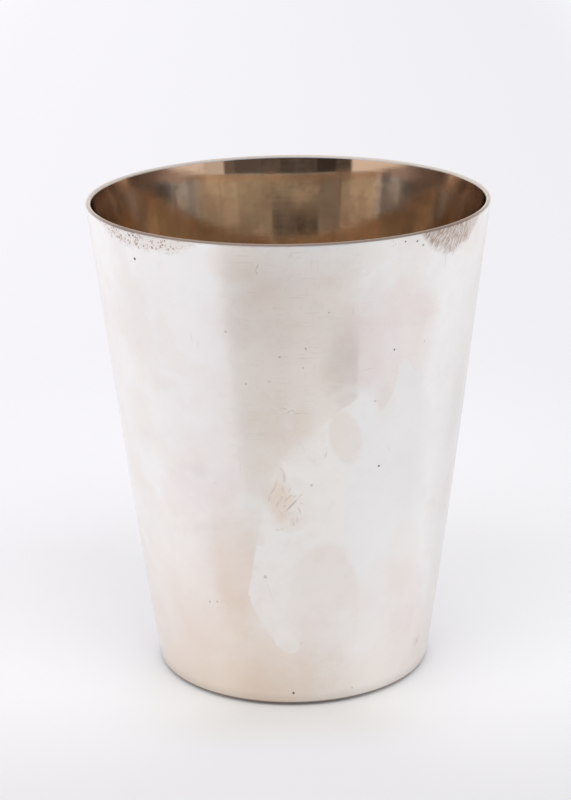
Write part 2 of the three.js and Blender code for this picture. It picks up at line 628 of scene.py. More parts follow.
def cleaned_patch_group():
    """The patch rubbed clean of film at the front, with its crisp coast-like outline."""
    group, tree, given, result = shader_group(
        "cleaned_patch", [(FLOAT, "Turn", 0.0), (FLOAT, "Up", 0.0), (FLOAT, "Ragged", 0.0)],
        [(FLOAT, "Mask")],
    )
    up = tree.plus(given["Up"], given["Ragged"])
    turn = tree.plus(given["Turn"], given["Ragged"])
    under_top = tree.minus(edge_curve(tree, turn, PATCH_TOP), up)
    over_bottom = tree.minus(up, edge_curve(tree, turn, PATCH_BOTTOM))
    inside = tree.math("MINIMUM", under_top, over_bottom)
    # The edge is soft at the upper left, where the rubbing faded out, and crisp elsewhere.
    fading = tree.times(tree.ramp(given["Up"], 27.0, 36.0), tree.ramp(given["Turn"], 3.0, 15.0, 1.0, 0.0))
    edge = tree.scaled(fading, 2.6, 0.3)
    sharp = tree.ramp(inside, 0.0, edge)
    left = tree.ramp(turn, PATCH_FROM + 2.5, PATCH_FROM + 3.5)
    right = tree.ramp(turn, 42.0, 56.0, 1.0, 0.0)
    low = tree.math("MAXIMUM", tree.ramp(up, 5.0, 24.0), tree.ramp(turn, 18.0, 22.0, 1.0, 0.0))
    right = tree.times(right, low)
    tree.feed(result["Mask"], tree.times(tree.times(sharp, left), right))
    return group


UNROLL = unroll_group()
STAIN = stain_group()
SCRATCHES = scratches_group()
TURNING_LINES = turning_lines_group()
SPECKS = specks_group()
DOTS = dots_group()
STROKES = strokes_group()
RIM_CRUST = rim_crust_group()
CLEANED_PATCH = cleaned_patch_group()


def use(tree, group, **inputs):
    """A shared group placed in a material: its outputs. Words in input names are joined by _."""
    node = tree.put("ShaderNodeGroup", node_tree=group)
    for name, value in inputs.items():
        tree.feed(node.inputs[name.replace("_", " ").title()], value)
    return node.outputs


# ---------------------------------------------------------------- the worn silver outside

# Beige film of tarnish: degrees round, mm up, half width, half height, lean, edge, strength.
FILM = (
    (-38, 5, 21, 22, 0, 0.6, 0.50),        # low left
    (-30, 0, 26, 9, 0, 0.6, 0.30),         # darker at its foot
    (-20.5, 25, 4.2, 11, 0, 0.45, 0.44),   # column beside the patch
    (-8, 4, 8, 9, 0, 0.5, 0.17),           # foot of the front
    (50, 4, 12, 9, 0, 0.6, 0.20),          # foot, right
    (-8, 46, 6, 6, 0, 0.5, 0.22),          # over the patch's left shoulder
    (-14.5, 75.2, 3.4, 3.4, 0, 0.4, 0.36),  # under the lip, left of the front
    (-8, 69.8, 3.2, 2.2, 20, 0.6, 0.20),   # olive smudges
    (3.6, 49.6, 1.6, 2.6, 0, 0.5, 0.22),
)
# Pinkish film, thinner: the same columns.
BLUSH = (
    (31, 62, 7, 9, 0, 0.4, 0.55),
    (46, 15, 5, 7, 0, 0.5, 0.45),
    (-30, 41, 7, 8, 0, 0.6, 0.35),
    (-43, 60, 6, 10, 0, 0.7, 0.25),
    (6, 62, 8, 14, 0, 0.5, 0.5),
    (-11, 60, 7, 12, 0, 0.5, 0.3),
    (30, 51, 1.8, 3.2, 0, 0.4, 0.5),
    (8, 30, 8, 5, 0, 0.8, 0.2),
    (-10, 22, 2.6, 6, 0, 0.5, 0.3),
)
# Films that lie inside the cleaned patch too.
OVAL = (11, 14, 6.8, 15, 0, 0.07, 0.22)
ISLANDS = (
    (17.0, 46.6, 2.4, 4.5, 15, 0.14, 0.24),
    (43, 24, 3.9, 6.5, 0, 0.3, 0.16),
)
# The rubbed mark, and grey smudges: the same columns.
RUBBED = (
    (-4.2, 37.2, 1.9, 2.8, 0, 0.6, 0.75),
    (-1.2, 33.0, 2.0, 1.3, 0, 0.8, 0.40),
)
SMUDGES = (
    (15.0, 61.5, 2.8, 4.0, 14, 0.8, 0.14),
    (16.4, 57.6, 3.0, 4.0, 0, 0.8, 0.16),
    (17.6, 52.8, 1.8, 1.4, 0, 0.5, 0.10),
    (-8, 72.0, 3.6, 3.4, 0, 0.8, 0.10),
    (-4, 64.0, 4.0, 3.0, 0, 0.9, 0.06),
    (3, 74.2, 7.0, 3.0, 0, 0.8, 0.06),
    (68, 46, 3.0, 6.5, 0, 0.6, 0.08),
    (74, 42, 8.0, 40, 0, 0.7, 0.20),
    (-31, 40.5, 1.4, 1.2, 0, 0.8, 0.10),
    (-30, 31.0, 3.0, 1.0, 20, 0.9, 0.07),
    (59.8, 6.4, 1.2, 0.8, 0, 0.6, 0.14),
    (-6.0, 50.0, 5.0, 4.0, 0, 0.8, 0.06),
)
# Single pits and black spots: degrees round, mm up, radius in mm.
PITS = (
    (-47.3, 73.5, 0.22), (28.9, 41.1, 0.17), (31.6, 60.0, 0.14), (-0.4, 2.4, 0.22),
    (-48.3, 77.15, 0.12), (-46.6, 77.25, 0.15), (32.6, 77.0, 0.12), (36.6, 76.7, 0.14),
    (38.9, 75.9, 0.13),
)
# Faint pits: the same columns.
FAINT_PITS = (
    (26.1, 52.1, 0.17), (-13.1, 55.9, 0.17), (-3.0, 60.4, 0.18), (3.7, 58.6, 0.14), (4.4, 61.7, 0.18),
    (-9.7, 23.4, 0.28), (-32.1, 17.6, 0.22), (-28.9, 17.9, 0.2), (24.1, 2.3, 0.16), (10.9, 67.2, 0.15),
    (37.3, 76.2, 0.09), (28.6, 77.35, 0.09), (29.4, 76.9, 0.09), (28.8, 76.6, 0.1), (-41.9, 76.2, 0.1),
    (-39.0, 76.4, 0.11), (-42.9, 75.9, 0.1), (-34.9, 76.5, 0.09), (6.3, 39.2, 0.22), (-2.4, 35.8, 0.13),
    (-6.2, 56.4, 0.13), (-18.3, 64.1, 0.2), (59.8, 6.4, 0.2), (43, 60.2, 0.12),
)
# Single scratches: degrees round, mm up, length and width in mm, lean, strength.
MARKS = (
    (-2.4, 40.7, 1.9, 0.44, 92, 0.4), (-3.1, 41.9, 1.1, 0.4, 132, 0.22),
    (-6.1, 38.4, 1.7, 0.3, 60, 0.4), (-7.3, 37.1, 1.3, 0.32, 78, 0.35),
    (-0.1, 35.95, 2.6, 0.3, 49, 0.75), (2.7, 37.5, 0.8, 0.22, 45, 0.4),
    (-0.7, 38.5, 0.8, 0.2, 62, 0.45), (-0.6, 37.4, 0.9, 0.34, 45, 0.35),
    (2.4, 35.0, 1.1, 0.26, 113, 0.45), (0.2, 33.0, 1.3, 0.6, 100, 0.25), (0.5, 32.7, 0.6, 0.2, 80, 0.6),
    (-5.0, 31.7, 0.7, 0.16, 0, 0.5), (-3.5, 31.8, 0.6, 0.16, 35, 0.35),
    (10.7, 44.2, 0.8, 0.16, 80, 0.65), (3.4, 45.8, 1.8, 0.25, 115, 0.15),
    (-3.4, 37.0, 1.0, 0.3, 60, 0.3), (-4.6, 36.2, 1.2, 0.3, 70, 0.35), (-2.9, 38.6, 1.2, 0.3, 100, 0.3),
    (-5.0, 39.6, 1.5, 0.3, 80, 0.3), (-1.9, 36.9, 0.8, 0.3, 50, 0.4), (0.9, 37.4, 0.7, 0.25, 35, 0.35),
    (-3.6, 34.6, 0.9, 0.25, 120, 0.25), (1.6, 33.4, 0.8, 0.25, 80, 0.3),
    (3.2, 36.2, 0.6, 0.2, 150, 0.3), (-1.8, 52.0, 0.7, 0.14, 150, 0.65),
    (-0.6, 51.5, 0.8, 0.15, 35, 0.6), (0.8, 51.6, 0.7, 0.13, 140, 0.55),
    (2.0, 51.2, 1.0, 0.14, 10, 0.5), (4.2, 51.2, 1.4, 0.12, -4, 0.3), (-8.4, 74.6, 0.9, 0.15, 72, 0.65),
    (-8.7, 73.7, 0.8, 0.14, 104, 0.55), (-29.2, 62.6, 2.0, 0.12, 92, 0.28),
    (-27.3, 61.6, 0.9, 0.12, 92, 0.28), (5.0, 60.15, 3.0, 0.13, 1, 0.35),
    (3.4, 60.8, 1.6, 0.11, 10, 0.25), (4.5, 61.5, 0.7, 0.14, 120, 0.45),
    (17.8, 67.1, 1.5, 0.13, 90, 0.3), (4.4, 57.4, 1.2, 0.12, 92, 0.25),
    (0.4, 76.3, 1.0, 0.13, 60, 0.35), (5.9, 75.0, 2.4, 0.14, 90, 0.12),
    (7.6, 74.6, 3.2, 0.14, 92, 0.12), (8.7, 73.0, 1.6, 0.12, 92, 0.1),
    (-51.9, 76.2, 2.4, 0.3, 142, 0.4), (-54.4, 77.0, 0.9, 0.24, 170, 0.3),
    (36.8, 76.75, 0.7, 0.16, 40, 0.5), (48.7, 72.8, 3.0, 0.17, 90, 0.4),
    (30.5, 59.3, 1.2, 0.16, 55, 0.18), (32.0, 43.8, 1.4, 0.3, 115, 0.15),
    (-8.4, 21.0, 3.6, 0.22, 107, 0.16), (-21.9, 10.4, 0.9, 0.16, 30, 0.22),
    (2.8, 11.6, 0.5, 0.2, 40, 0.35), (-16.3, 41.5, 7.0, 0.26, 89, 0.05), (23, 57.5, 2.0, 0.12, 8, 0.2),
    (6, 67.3, 1.4, 0.11, 0, 0.22), (1.5, 69.8, 1.8, 0.11, 0, 0.22), (9.5, 66.6, 2.2, 0.11, 2, 0.2),
    (-12.5, 76.2, 2.2, 0.12, 1, 0.25), (-13.5, 75.1, 2.6, 0.12, 2, 0.22),
    (-12, 73.9, 1.8, 0.12, 0, 0.2), (2.5, 76.8, 2.4, 0.12, 2, 0.25),
)
# How far the edges of each reach either way, as a share of its size.
PIT_EDGE, MARK_EDGE, CLOUD_EDGE = 0.35, 0.6, 0.45


def stain_mask(tree, place, ragged, row):
    """One row of a table as a mask. Its oval is measured along and across its own lean."""
    turn, up, half_width, half_height, lean, edge, strength = row
    centre = math.radians(turn) * MEAN_WALL
    cosine, sine = math.cos(math.radians(lean)), math.sin(math.radians(lean))
    return use(
        tree, STAIN, round=place["Round"], up=place["Up"], ragged=ragged,
        along_round=cosine / half_width, along_up=sine / half_width,
        along_start=-(centre * cosine + up * sine) / half_width,
        across_round=-sine / half_height, across_up=cosine / half_height,
        across_start=(centre * sine - up * cosine) / half_height,
        inner=1 - edge, outer=1 + edge, strength=strength,
    )["Mask"]


def all_stains(tree, place, ragged, rows, operation="ADD"):
    """The stains of a table in one mask, added up or each at its own strength."""
    total = stain_mask(tree, place, ragged, rows[0])
    for row in rows[1:]:
        total = tree.math(operation, total, stain_mask(tree, place, ragged, row))
    return total


def all_pits(tree, place, rows):
    spots = [(turn, up, radius, radius, 0, PIT_EDGE, 1.0) for turn, up, radius in rows]
    return all_stains(tree, place, 0.0, spots, "MAXIMUM")


def all_marks(tree, place, rows):
    lines = [
        (turn, up, length / 2, width / 2, lean, MARK_EDGE, strength)
        for turn, up, length, width, lean, strength in rows
    ]
    return all_stains(tree, place, 0.0, lines, "MAXIMUM")


# Random scratches: lean, spread, length, gap, width, share of places and strength. The first come from
# the cloth and lie level, and the others lean every way.
LOOSE_SCRATCHES = (
    (1.0, 5.0, 4.0, 1.0, 0.07, 0.5, 1.0),
    (20.0, 90.0, 1.6, 1.6, 0.09, 0.3, 1.0),
    (88.0, 10.0, 3.0, 1.4, 0.08, 0.3, 0.6),
)


def loose_scratches(tree, flat):
    """All of the random scratches in one mask."""
    total = 0.0
    for seed, (lean, spread, length, gap, width, share, strength) in enumerate(LOOSE_SCRATCHES, 1):
        lines = use(
            tree, SCRATCHES, flat=flat, lean=lean, spread=spread, length=length, gap=gap, width=width,
            share=share, seed=seed,
        )
        total = tree.math("MAXIMUM", total, tree.times(lines["Mask"], strength))
    return total


def lip_tint_and_painted_reflection(tree, place, colour):
    """The lip: a bright shoulder, a thin painted dark reflection over it, strongest at the front, and a
    dull tan crown.
    """
    above = tree.minus(place["Up"], WALL_TOP / MM)
    x, y, _ = tree.split(place["Place"])
    inward = tree.minus(RIM_RADIUS / MM, tree.vector("LENGTH", tree.join(x, y, 0.0)))
    outer = tree.ramp(inward, 0.30, 0.42, 1.0, 0.0)
    # The dark line on the outer shoulder is a painted reflection of the dim surroundings above, strongest
    # at the front.
    line = tree.times(tree.ramp(above, 0.10, 0.18), outer)
    to_front = tree.ramp(tree.math("ABSOLUTE", place["Turn"]), 50.0, 90.0, 0.9, 0.12)
    colour = tree.colour_mix(tree.ramp(above, 0.14, 0.26, 0.0, 0.7), colour, LIP_TINT)
    return tree.colour_mix(tree.times(line, to_front), colour, LIP_PAINTED_DARK_REFLECTION)


def foot_dirt_and_painted_shadow(tree, place, colour):
    """Darkening under the wall's lower edge and in the gap behind it: a painted contact shadow over a
    little tarnish.
    """
    # Painted contact shadow along the foot and in the gap, over some tarnish.
    low = tree.ramp(place["Up"], 0.55, 0.95, 1.0, 0.0)
    faint = tree.ramp(place["Up"], 0.6, 2.6, 0.16, 0.0)
    return tree.colour_mix(tree.math("MAXIMUM", tree.times(low, 0.92), faint), colour, FOOT_DIRT_AND_SHADOW)


def principled(name):
    material, tree = start_material(name)
    surface = tree.put("ShaderNodeBsdfPrincipled", {"Metallic": 1.0})
    tree.show(surface.outputs[0])
    return material, tree, surface.inputs


def coats(tree, colour, *layers):
    """Thin coats laid one over another, each as its mask, its strength and its tint."""
    for mask, strength, tint in layers:
        colour = tree.colour_mix(tree.times(mask, strength), colour, tint)
    return colour


def fine_lines(tree, surface, height, strength):
    """Bump so shallow that it only breaks up what the metal mirrors."""
    bump = tree.put("ShaderNodeBump", {"Strength": strength, "Distance": LINE_DEPTH, "Height": height})
    tree.feed(surface["Normal"], bump.outputs[0])


LINE_DEPTH = 0.01 * MM
CLEAN_SILVER = (0.958, 0.946, 0.930, 1)
FILM_TINT = (0.86, 0.735, 0.63, 1)
BLUSH_TINT = (0.90, 0.82, 0.79, 1)
RUBBED_SILVER = (0.945, 0.937, 0.925, 1)
RUBBED_LOW = (0.93, 0.885, 0.85, 1)
CREAM_TINT = (0.93, 0.90, 0.845, 1)
LIP_TINT = (0.86, 0.73, 0.62, 1)
LIP_PAINTED_DARK_REFLECTION = (0.30, 0.21, 0.17, 1)
FOOT_DIRT_AND_SHADOW = (0.16, 0.12, 0.10, 1)
CRUST_TINT = (0.62, 0.46, 0.38, 1)
STROKE_BROWN = (0.34, 0.205, 0.12, 1)
SCRATCH_GREY = (0.45, 0.39, 0.35, 1)
PIT_BLACK = (0.03, 0.028, 0.026, 1)
CREAM_SHIFT = (31.0, 5.0, 12.0)
# Where the patch's tongue passes the oval: mm up, degrees round, and degrees a mm.
TONGUE_UP, TONGUE_TURN, TONGUE_SLOPE = 11.4, 2.3, -1.07


def film_islands(tree, place, ragged):
    """Films inside the patch. The oval ends where the patch's tongue runs down past its left side."""
    ragged = tree.times(ragged, 0.4)
    islands = all_stains(tree, place, ragged, ISLANDS, "MAXIMUM")
    below_tongue = tree.minus(place["Up"], TONGUE_UP)
    tongue_edge = tree.scaled(below_tongue, TONGUE_SLOPE, TONGUE_TURN)
    past_tongue = tree.ramp(tree.minus(place["Turn"], tongue_edge), -0.6, 0.6)
    oval = stain_mask(tree, place, ragged, OVAL)
    return tree.math("MAXIMUM", islands, tree.times(oval, past_tongue))


def rubbed_patch(tree, place, ragged, islands):
    """The patch with its torn edge and the traces of film left in it, most of all on its left."""
    fine = tree.noise(place["Place"], 0.8, detail=4.0, roughness=0.65)
    torn = tree.plus(tree.times(ragged, 2.2), tree.scaled(fine, 1.4, -0.7))
    patch = use(tree, CLEANED_PATCH, turn=place["Turn"], up=place["Up"], ragged=torn)["Mask"]
    left_film = tree.noise(place["Place"], 0.3, detail=5.0, roughness=0.7)
    traces = tree.ramp(left_film, 0.44, 0.60, 0.0, 0.55)
    traces = tree.times(traces, tree.ramp(place["Turn"], 4.0, 16.0, 1.0, 0.2))
    patch = tree.times(patch, tree.rest(traces))
    off_islands = tree.rest(tree.times(islands, 3.0), clamp=True)
    return tree.times(patch, off_islands)


def film_colours(tree, place, slow, ragged, patch, islands):
    """The silver under its beige and pinkish films, with the rubbed patch and the grey smudges."""
    off_patch = tree.rest(tree.times(patch, 0.9))
    film = all_stains(tree, place, ragged, FILM)
    film = tree.plus(film, tree.ramp(slow, 0.45, 0.7, 0.0, 0.18))
    film = tree.math("MAXIMUM", tree.times(film, off_patch), islands)
    rubbed_mark = all_stains(tree, place, tree.times(ragged, 2.0), RUBBED)
    film = tree.math("MAXIMUM", film, rubbed_mark, clamp=True)
    cloudy = tree.ramp(tree.noise(place["Place"], 0.1), 0.5, 0.66, 0.0, 0.35)
    blush = tree.plus(all_stains(tree, place, ragged, BLUSH), cloudy)
    blush = tree.times(blush, tree.scaled(patch, -0.7, 1.0), clamp=True)
    elsewhere = tree.vector("ADD", place["Place"], CREAM_SHIFT)
    cream = tree.ramp(tree.noise(elsewhere, 0.12), 0.48, 0.64)
    rubbed = tree.colour_mix(tree.ramp(place["Up"], 16.0, 30.0, 0.6, 0.0), RUBBED_SILVER, RUBBED_LOW)
    smudges = tree.times(all_stains(tree, place, ragged, SMUDGES), off_patch)
    # The front's smudges end crisply on their right.
    free = tree.minus(tree.ramp(place["Turn"], 19.2, 20.8), tree.ramp(place["Turn"], 30.0, 40.0))
    smudges = tree.times(smudges, tree.rest(free))
    return coats(
        tree, CLEAN_SILVER, (cream, 0.5, CREAM_TINT), (patch, 1.0, rubbed), (blush, 1.0, BLUSH_TINT),
        (film, 1.0, FILM_TINT), (smudges, 1.0, SCRATCH_GREY),
    )


def lip_crust(tree, place, from_turn, to_turn, depth, feather):
    """How thick a crust lies under the lip between two places, in degrees round."""
    return use(
        tree, RIM_CRUST, flat=place["Flat"], turn=place["Turn"], up=place["Up"],
        from_turn=from_turn, to_turn=to_turn, depth=depth, feather=feather,
    )["Area"]


def hairy_crust(tree, place, colour, crust):
    """The crust on the right: slanting hairs that stand up towards its right end."""
    flat = place["Flat"]
    slant = use(tree, STROKES, flat=flat, lean=50.0, length=1.6, width=0.20, share=0.56)
    upright = use(tree, STROKES, flat=flat, lean=76.0, length=1.5, width=0.20, share=0.55)
    hairs = tree.blend(tree.ramp(place["Turn"], 47.0, 52.0), slant["Mask"], upright["Mask"])
    hairs = tree.times(hairs, tree.ramp(place["Turn"], 57.0, 61.0, 1.0, 0.2))
    strokes = tree.times(hairs, crust)
    return coats(tree, colour, (crust, 0.33, CRUST_TINT), (strokes, 0.68, STROKE_BROWN))


def dotted_crust(tree, place, colour):
    """The crust on the left: clusters of tiny brown dots."""
    crust = lip_crust(tree, place, -66.0, -23.0, 2.7, 0.8)
    dots = use(tree, DOTS, flat=place["Flat"], spacing=0.40, radius=0.23, share=0.7)["Mask"]
    clusters = tree.ramp(tree.noise(place["Flat"], 0.9, detail=3.0), 0.40, 0.55)
    dots = tree.times(tree.times(dots, clusters), crust)
    return coats(tree, colour, (crust, 0.20, CRUST_TINT), (dots, 0.75, STROKE_BROWN))


def wear(tree, place, colour, slow, scratches, patch):
    """Scratches, mottling, specks and pits, the finest of them mostly in front and high up."""
    off_middle = tree.math("ABSOLUTE", tree.minus(place["Turn"], 2.0))
    in_front = tree.ramp(off_middle, 17.0, 25.0, 1.0, 0.4)
    handled = tree.times(in_front, tree.ramp(place["Up"], 30.0, 48.0, 0.5, 1.0))
    worn = tree.times(handled, tree.ramp(slow, 0.35, 0.6, 0.10, 0.26))
    worn = tree.times(scratches, worn)
    worn = tree.times(worn, tree.rest(tree.times(patch, 0.6)))
    mottle = tree.ramp(tree.noise(place["Place"], 0.5, detail=6.0, roughness=0.72), 0.5, 0.68, 0.0, 0.07)
    specks = use(tree, SPECKS, place=place["Place"], spacing=2.4, radius=0.13, share=0.14)["Mask"]
    return coats(
        tree, colour, (worn, 1.0, SCRATCH_GREY), (mottle, handled, SCRATCH_GREY),
        (all_marks(tree, place, MARKS), 0.7, SCRATCH_GREY), (specks, 0.22, SCRATCH_GREY),
        (all_pits(tree, place, FAINT_PITS), 0.5, SCRATCH_GREY),
        (all_pits(tree, place, PITS), 0.85, PIT_BLACK),
    )


def worn_silver():
    """The outside: silver with fine polishing lines, its films, crusts, scratches and pits."""
    material, tree, surface = principled("worn_silver")
    place = use(tree, UNROLL)
    slow = tree.noise(place["Place"], 0.06, detail=4.0)
    ragged = tree.noise(place["Place"], 0.35, detail=4.0)
    ragged = tree.times(tree.minus(ragged, 0.5), 0.5)
    islands = film_islands(tree, place, ragged)
    patch = rubbed_patch(tree, place, ragged, islands)
    crust = lip_crust(tree, place, 37.0, 67.0, 4.5, 1.8)
    scratches = loose_scratches(tree, place["Flat"])

    colour = film_colours(tree, place, slow, ragged, patch, islands)
    colour = hairy_crust(tree, place, colour, crust)
    colour = dotted_crust(tree, place, colour)
    colour = wear(tree, place, colour, slow, scratches, patch)
    colour = lip_tint_and_painted_reflection(tree, place, colour)
    colour = foot_dirt_and_painted_shadow(tree, place, colour)
    tree.feed(surface["Base Color"], colour)

    crown = tree.ramp(place["Up"], WALL_TOP / MM + 0.12, WALL_TOP / MM + 0.26, 0.0, 0.6)
    dull = tree.math("MAXIMUM", tree.times(patch, 0.35), crown)
    tree.feed(surface["Metallic"], tree.rest(dull))
    roughness = tree.plus(tree.ramp(slow, 0.3, 0.7, 0.28, 0.33), tree.times(patch, 0.12))
    roughness = tree.plus(roughness, tree.times(crust, 0.1))
    tree.feed(surface["Roughness"], roughness)
    surface["Anisotropic"].default_value = 0.8
    surface["Anisotropic Rotation"].default_value = 0.25
    tangent = tree.put("ShaderNodeTangent", direction_type="RADIAL", axis="Z")
    tree.feed(surface["Tangent"], tangent.outputs[0])
    lines = use(tree, TURNING_LINES, place=place["Place"], spacing=0.22, length=26.0)["Height"]
    lines = tree.times(lines, 0.25)
    fine_lines(tree, surface, tree.minus(lines, tree.times(scratches, 0.35)), 0.6)
    return material


# ---------------------------------------------------------------- the brown gilt lining

GILT = (0.68, 0.54, 0.41, 1)
GILT_ROSE = (0.67, 0.48, 0.36, 1)
GILT_OLIVE = (0.61, 0.51, 0.365, 1)
GILT_DARK = (0.46, 0.355, 0.27, 1)
GILT_PALE_AND_HIGHLIGHT = (0.77, 0.63, 0.47, 1)
GILT_TOP = (0.65, 0.435, 0.295, 1)
DRIP_STRETCH = (0.4, 0.4, 0.1)
ROSE_SHIFT = (11.0, 47.0, 3.0)

# Dark spots and runs on the far side: degrees round from the back, mm up, half width, half height
# and strength.
LINING_SPOTS = (
    (25.7, 67.5, 0.6, 0.5, 0.8), (31.5, 68.5, 0.6, 0.6, 0.7), (32.3, 72.2, 0.5, 1.3, 0.7),
    (32.2, 74.7, 0.7, 0.6, 0.8), (27.9, 75.3, 0.6, 0.5, 0.7), (30.0, 73.0, 0.5, 0.5, 0.5),
    (41.9, 69.2, 0.7, 0.5, 0.7), (46, 72.5, 0.9, 0.35, 0.5), (17.1, 72.4, 0.22, 2.8, 0.8),
    (-65.0, 73.2, 0.5, 0.7, 0.9), (-38.2, 74.2, 0.5, 0.4, 0.8), (-38.8, 70, 0.25, 4.5, 0.5),
    (-22.4, 69, 0.2, 5.0, 0.4), (-47, 73.6, 1.2, 0.5, 0.4), (25.4, 67.5, 0.2, 3.0, 0.4),
    (42.9, 68.5, 0.2, 2.6, 0.5),
)
# Darker and paler clouds in the gilding: the same columns. The two highest dark ones, at either side, are
# painted dark reflections, and the pale ones are partly painted bright reflections.
DARK_CLOUDS_AND_REFLECTIONS = (
    (-47.5, 75.4, 4.6, 1.7, 0.55), (46, 75.4, 3.8, 1.5, 0.6), (7, 74.3, 4.5, 1.2, 0.35),
    (36, 69.5, 2.4, 2.6, 0.7), (54, 70.5, 4.5, 3.2, 0.55), (-32, 68, 6.0, 2.6, 0.45),
    (28, 68.2, 4.0, 1.8, 0.35), (-16, 67, 4.0, 1.6, 0.35),
)
PALE_CLOUDS_AND_HIGHLIGHTS = (
    (-27, 73.6, 4.6, 1.5, 0.45), (-18.5, 72.6, 2.4, 1.2, 0.8), (-12.5, 73.4, 2.0, 1.2, 0.45),
    (25, 72.2, 2.2, 0.9, 0.4), (30, 73.3, 1.6, 1.1, 0.4), (-1, 71.6, 2.6, 0.9, 0.3),
    (48, 70.8, 1.8, 1.0, 0.4),
)


def lining_clouds_and_reflections(tree, place, ragged, rows):
    shapes = [
        (turn, up, width, height, 0, CLOUD_EDGE, strength)
        for turn, up, width, height, strength in rows
    ]
    return all_stains(tree, place, ragged, shapes, "MAXIMUM")


def brown_lining():
    """The inside: worn gilding, brown with tarnish, with its clouds, spots and runs, some of the clouds
    painted reflections.
    """
    material, tree, surface = principled("brown_lining")
    place = use(tree, UNROLL, facing=FROM_BACK)
    z = place["Up"]
    drips = tree.vector("MULTIPLY", place["Place"], DRIP_STRETCH)
    streaks = tree.ramp(tree.noise(drips, 1.0, detail=4.0, roughness=0.6), 0.45, 0.6)
    blotches = tree.ramp(tree.noise(place["Place"], 0.17, detail=5.0, roughness=0.62), 0.47, 0.62)
    elsewhere = tree.vector("ADD", place["Place"], ROSE_SHIFT)
    rosy = tree.ramp(tree.noise(elsewhere, 0.13, detail=4.0), 0.48, 0.6)
    grain = tree.noise(place["Place"], 0.45, detail=4.0, roughness=0.65)
    spots = tree.ramp(grain, 0.54, 0.66)
    ragged = tree.scaled(grain, 1.6, -0.8)
    top = tree.ramp(tree.plus(z, tree.times(blotches, 1.2)), 75.0, 76.2, 0.0, 0.85)
    spot_edge = tree.minus(tree.times(spots, 0.3), 0.15)
    # Some of the dark and pale clouds are painted reflections.
    colour = coats(
        tree, GILT, (streaks, 0.45, GILT_OLIVE), (rosy, 0.45, GILT_ROSE), (blotches, 0.34, GILT_DARK),
        (spots, 0.40, GILT_DARK), (lining_clouds_and_reflections(tree, place, ragged, DARK_CLOUDS_AND_REFLECTIONS), 1.0, GILT_DARK),
        (lining_clouds_and_reflections(tree, place, ragged, PALE_CLOUDS_AND_HIGHLIGHTS), 1.0, GILT_PALE_AND_HIGHLIGHT), (top, 1.0, GILT_TOP),
        (lining_clouds_and_reflections(tree, place, spot_edge, LINING_SPOTS), 0.75, GILT_DARK),
    )
    tree.feed(surface["Base Color"], colour)
    far_round = tree.math("ABSOLUTE", place["Turn"])
    # It is duller at the sides of what is seen of it.
    at_sides = tree.minus(tree.ramp(far_round, 40.0, 56.0), tree.ramp(far_round, 80.0, 96.0))
    roughness = tree.scaled(at_sides, 0.05, tree.ramp(blotches, 0.0, 1.0, 0.06, 0.10))
    tree.feed(surface["Roughness"], roughness)
    surface["Coat Weight"].default_value = 0.6
    surface["Coat Roughness"].default_value = 0.08
    lines = use(tree, TURNING_LINES, place=place["Place"], spacing=0.5, length=20.0)["Height"]
    fine_lines(tree, surface, lines, 0.12)
    return material


# ---------------------------------------------------------------- floor, light and camera

FLOOR_SIDE = 3.0
UNDER_CUP = 0.05 * MM
FLOOR_PAINTED_BRIGHT = (0.945, 0.93, 0.97, 1)
FLOOR_PAINTED_DIM = (0.875, 0.868, 0.90, 1)
FLOOR_NEAR_PAINTED_SHADE = (0.93, 0.93, 0.92, 1)
FLOOR_SHADE = (0.82, 0.805, 0.795, 1)


def round_from_front(tree, x, y):
    """Degrees from the middle of the front, right being positive."""
    return tree.math("DEGREES", tree.math("ARCTAN2", x, tree.times(y, -1.0)))


def painted_glow_round_cup(tree, x, y):
    """A painted glow: the sheet gives off a little light itself, most of all round the cup and not in
    front of it.
    """
    radius = tree.vector("LENGTH", tree.join(x, y, 0.0))
    to_front = tree.math("ABSOLUTE", round_from_front(tree, x, y))
    beside = tree.times(tree.ramp(radius, 0.035, 0.19, 1.0, 0.0), tree.ramp(to_front, 12.0, 40.0))
    beside = tree.times(beside, tree.ramp(y, -0.065, -0.005))
    glow = tree.scaled(beside, 0.095, tree.ramp(y, -0.10, 0.0, 0.012, 0.045))
    glow = tree.plus(glow, tree.times(beside, tree.ramp(x, -0.03, 0.03, 0.0, 0.02)))
    glow = tree.plus(glow, tree.ramp(x, 0.11, 0.17, 0.0, 0.08))
    return tree.plus(glow, tree.ramp(x, -0.17, -0.11, 0.05, 0.0))


